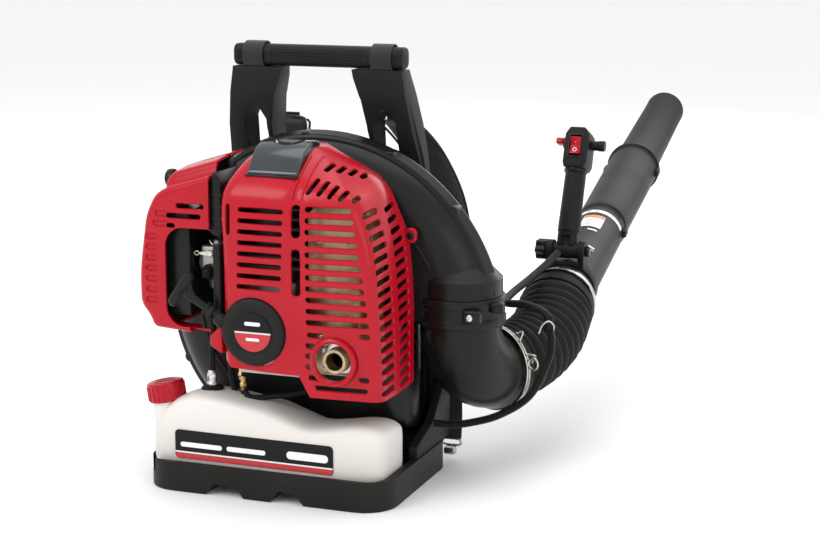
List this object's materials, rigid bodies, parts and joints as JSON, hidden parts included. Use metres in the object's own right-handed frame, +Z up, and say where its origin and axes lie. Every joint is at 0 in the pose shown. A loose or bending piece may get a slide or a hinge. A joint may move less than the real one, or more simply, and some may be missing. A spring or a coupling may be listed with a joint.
{
  "type": "backpack leaf blower",
  "caption": "Backpack leaf blower: two-stroke engine and scroll fan housing on a padded back frame, with flexible hose, blower pipes and a control handle.",
  "frame": {"origin": "on the floor, under the crankshaft's plane, at the inner edge of the middle foot of the base", "axes": "+X is the wearer's right, +Y is the way the wearer faces and the pipes point, +Z is up"},
  "size_m": [0.4626, 1.1737, 0.499],
  "materials": {
    "frame_plastic": "moulded charcoal plastic, lightly grained",
    "black_plastic": "moulded black plastic, satin",
    "red_plastic": "glossy red moulded plastic",
    "smoked_plastic": "dark glossy plastic",
    "tank_plastic": "translucent milky polyethylene",
    "rubber": "black rubber",
    "fabric": "black woven polyester over foam",
    "webbing": "black woven webbing",
    "aluminium": "die cast, dull",
    "steel": "zinc plated",
    "muffler_steel": "heat tinted sheet steel",
    "foam": "grey filter foam"
  },
  "bodies": {
    "blower_frame": {"frame_base": "frame_plastic", "frame_back": "frame_plastic", "carry_handle": "frame_plastic", "back_pad": "fabric", "shoulder_strap_right": "fabric", "shoulder_strap_left": "fabric", "lower_strap_right": "webbing", "lower_strap_left": "webbing", "strap_hook_right": "steel", "strap_hook_left": "steel", "rubber_mount_left": "rubber", "rubber_mount_right": "rubber", "volute_front": "black_plastic", "volute_rear": "black_plastic", "outlet_band": "black_plastic", "elbow": "black_plastic", "wire_clamp": "steel", "hose_lower": "rubber", "fuel_tank": "tank_plastic", "tank_grommet": "rubber", "fuel_line": "rubber", "crankcase": "aluminium", "cylinder": "aluminium", "spark_plug": "steel", "muffler": "muffler_steel", "carburettor": "aluminium", "heat_shield": "black_plastic", "air_cleaner_case": "black_plastic", "air_filter": "foam", "air_cleaner_cover": "red_plastic", "starter_case": "black_plastic", "engine_cover": "red_plastic", "top_cap": "smoked_plastic", "conduit_lower": "rubber", "starter_rope": "webbing"},
    "crank": {"crankshaft": "steel", "fan": "aluminium"},
    "piston": {"piston": "aluminium"},
    "starter_pulley": {"starter_pulley": "black_plastic"},
    "starter_grip": {"starter_grip": "black_plastic"},
    "fuel_cap": {"fuel_cap": "red_plastic"},
    "cleaner_knob": {"cleaner_knob": "black_plastic"},
    "choke_lever": {"choke_lever": "steel"},
    "primer_bulb": {"primer_bulb": "rubber"},
    "hose_middle": {"hose_middle": "rubber", "hose_upper": "rubber", "conduit_upper": "rubber"},
    "hose_end": {"hose_cuff": "rubber", "hose_clamp": "steel"},
    "pipe": {"swivel_pipe": "frame_plastic", "middle_pipe": "frame_plastic", "nozzle_pipe": "frame_plastic"},
    "handle_clamp": {"handle_clamp": "black_plastic"},
    "clamp_knob": {"clamp_knob": "black_plastic"},
    "handle": {"handle_grip": "frame_plastic", "control_head": "frame_plastic", "lever_cap": "black_plastic"},
    "throttle_trigger": {"throttle_trigger": "black_plastic"},
    "stop_switch": {"stop_switch": "red_plastic"},
    "speed_lever": {"speed_lever": "red_plastic"}
  },
  "joints": [
    {"name": "hose_swing", "type": "hinge", "parent": "blower_frame", "child": "hose_middle", "pos_m": [0.214, 0.15, 0.124], "axis": [0, 0, 1], "range_deg": [-15, 20], "deforming": ["hose_lower"]},
    {"name": "hose_lift", "type": "hinge", "parent": "hose_middle", "child": "hose_end", "pos_m": [0.235, 0.232, 0.147], "axis": [1, 0, 0], "range_deg": [-12, 20], "deforming": ["hose_upper", "conduit_upper"]},
    {"name": "pipe_swivel", "type": "hinge", "parent": "hose_end", "child": "pipe", "pos_m": [0.232, 0.29, 0.167], "axis": [-0.055, 0.9766, 0.208], "range_deg": [-60, 60]},
    {"name": "handle_slide", "type": "slide", "parent": "pipe", "child": "handle_clamp", "axis": [-0.055, 0.9766, 0.208], "range_m": [-0.01, 0.08]},
    {"name": "handle_tilt", "type": "hinge", "parent": "handle_clamp", "child": "handle", "pos_m": [0.228, 0.327, 0.224], "axis": [1, 0, 0], "range_deg": [-30, 30]},
    {"name": "clamp_knob_turn", "type": "hinge", "parent": "handle_clamp", "child": "clamp_knob", "pos_m": [0.228, 0.327, 0.224], "axis": [1, 0, 0], "range_deg": [0, 360]},
    {"name": "trigger_pull", "type": "hinge", "parent": "handle", "child": "throttle_trigger", "pos_m": [0.228, 0.38781, 0.34093], "axis": [-1, 0, 0], "range_deg": [0, 12], "stiffness_Nm_per_rad": 0.4, "springref_deg": -17.19},
    {"name": "stop_rock", "type": "hinge", "parent": "handle", "child": "stop_switch", "pos_m": [0.228, 0.36196, 0.35308], "axis": [1, 0, 0], "range_deg": [-8, 8]},
    {"name": "speed_set", "type": "hinge", "parent": "handle", "child": "speed_lever", "pos_m": [0.208, 0.3794, 0.35384], "axis": [1, 0, 0], "range_deg": [-40, 40]},
    {"name": "crank_spin", "type": "hinge", "parent": "blower_frame", "child": "crank", "pos_m": [0, 0, 0.197], "axis": [0, 1, 0], "continuous": true},
    {"name": "piston_stroke", "type": "slide", "parent": "blower_frame", "child": "piston", "axis": [0, 0, 1], "range_m": [-0.034, 0]},
    {"name": "grip_pull", "type": "slide", "parent": "blower_frame", "child": "starter_grip", "axis": [-0.8198, -0.12, 0.5599], "range_m": [0, 0.75], "stiffness_N_per_m": 20, "springref_m": -0.3, "deforming": ["starter_rope"]},
    {"name": "pulley_turn", "type": "hinge", "parent": "blower_frame", "child": "starter_pulley", "pos_m": [0, -0.115, 0.197], "axis": [0, -1, 0], "range_deg": [0, 1720]},
    {"name": "cap_turn", "type": "hinge", "parent": "blower_frame", "child": "fuel_cap", "pos_m": [-0.132, -0.076, 0.102], "axis": [-0.158, 0, 0.9874], "range_deg": [0, 360]},
    {"name": "cleaner_knob_turn", "type": "hinge", "parent": "blower_frame", "child": "cleaner_knob", "pos_m": [-0.1283, -0.046, 0.35], "axis": [-1, 0, 0], "range_deg": [0, 360]},
    {"name": "choke_turn", "type": "hinge", "parent": "blower_frame", "child": "choke_lever", "pos_m": [-0.074, -0.074, 0.271], "axis": [0, 1, 0], "range_deg": [0, 70]},
    {"name": "primer_press", "type": "slide", "parent": "blower_frame", "child": "primer_bulb", "axis": [0, 1, 0], "range_m": [0, 0.005], "stiffness_N_per_m": 600, "springref_m": -0.001}
  ],
  "couplings": [
    {"joint": "pulley_turn", "follows": "grip_pull", "rad_per_m": 40}
  ]
}
